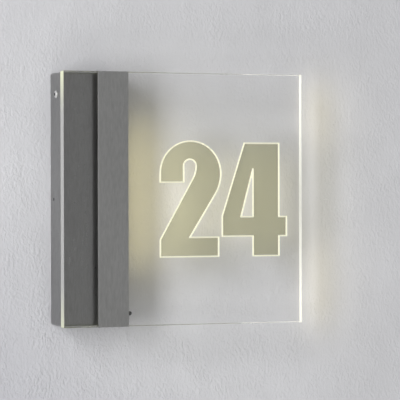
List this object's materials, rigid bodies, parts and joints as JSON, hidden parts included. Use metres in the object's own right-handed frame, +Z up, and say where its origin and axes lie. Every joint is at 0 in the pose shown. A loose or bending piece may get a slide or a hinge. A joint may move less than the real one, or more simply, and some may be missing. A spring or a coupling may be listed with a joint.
{
  "type": "illuminated house number sign",
  "caption": "Edge-lit clear acrylic sign panel with two outlined digits, clamped by a brushed steel bar to a folded steel wall housing that pulls off its bracket.",
  "frame": {"origin": "on the wall face of the bracket, at the middle of the steel housing's width and height", "axes": "+X along the wall to the right as seen from the front, +Y into the wall, +Z up"},
  "size_m": [0.2524, 0.05, 0.2519],
  "materials": {
    "housing_steel": "brushed along its length, satin",
    "bar_steel": "brushed along its length, satin",
    "zinc_sheet": "galvanised, dull",
    "stainless_fastener": "turned and plain",
    "clear_acrylic": "cast, clear, polished edges",
    "tinted_film": "tinted translucent film, satin",
    "carrier_aluminium": "mill finish",
    "board_white": "white solder mask",
    "light_phosphor": "warm white phosphor",
    "resistor_black": "matt",
    "driver_plastic": "moulded, fine texture",
    "circuit_green": "green solder mask",
    "transformer_tape": "yellow tape over ferrite",
    "capacitor_sleeve": "shrink sleeve",
    "terminal_nylon": "natural polyamide",
    "terminal_brass": "turned",
    "lug_tin": "tin plated",
    "sleeve_nylon": "natural polyamide",
    "grommet_rubber": "matt",
    "sensor_plastic": "moulded, black",
    "sensor_resin": "dark clear resin",
    "lead_brown": "extruded",
    "lead_blue": "extruded",
    "lead_green_yellow": "extruded",
    "lead_red": "extruded",
    "lead_black": "extruded",
    "lead_white": "extruded",
    "lead_grey": "extruded"
  },
  "bodies": {
    "bracket": {"bracket_plate": "zinc_sheet", "cable_grommet": "grommet_rubber"},
    "lamp": {"housing_shell": "housing_steel", "acrylic_panel": "clear_acrylic", "digit_2_film": "tinted_film", "digit_4_film": "tinted_film", "clamp_bar": "bar_steel", "bar_studs": "stainless_fastener", "stud_sleeves": "sleeve_nylon", "stud_washers": "stainless_fastener", "stud_nuts": "stainless_fastener", "led_carrier": "carrier_aluminium", "led_board": "board_white", "led_chips": "light_phosphor", "led_resistors": "resistor_black", "driver_case": "driver_plastic", "driver_lid": "driver_plastic", "driver_board": "circuit_green", "driver_transformer": "transformer_tape", "driver_capacitor": "capacitor_sleeve", "terminal_block": "terminal_nylon", "terminal_clamps": "terminal_brass", "terminal_screws": "stainless_fastener", "weld_studs": "stainless_fastener", "stud_lock_nuts": "stainless_fastener", "earth_lug": "lug_tin", "fixing_screws": "stainless_fastener", "fixing_nuts": "stainless_fastener", "sensor_holder": "sensor_plastic", "sensor_eye": "sensor_resin", "sensor_nut": "sensor_plastic", "live_lead": "lead_brown", "neutral_lead": "lead_blue", "earth_lead": "lead_green_yellow", "light_lead_positive": "lead_red", "light_lead_negative": "lead_black", "sensor_lead_signal": "lead_white", "sensor_lead_return": "lead_grey"}
  },
  "joints": [
    {"name": "lamp_pull_off", "type": "slide", "parent": "bracket", "child": "lamp", "axis": [0, -1, 0], "range_m": [0, 0.029]}
  ]
}
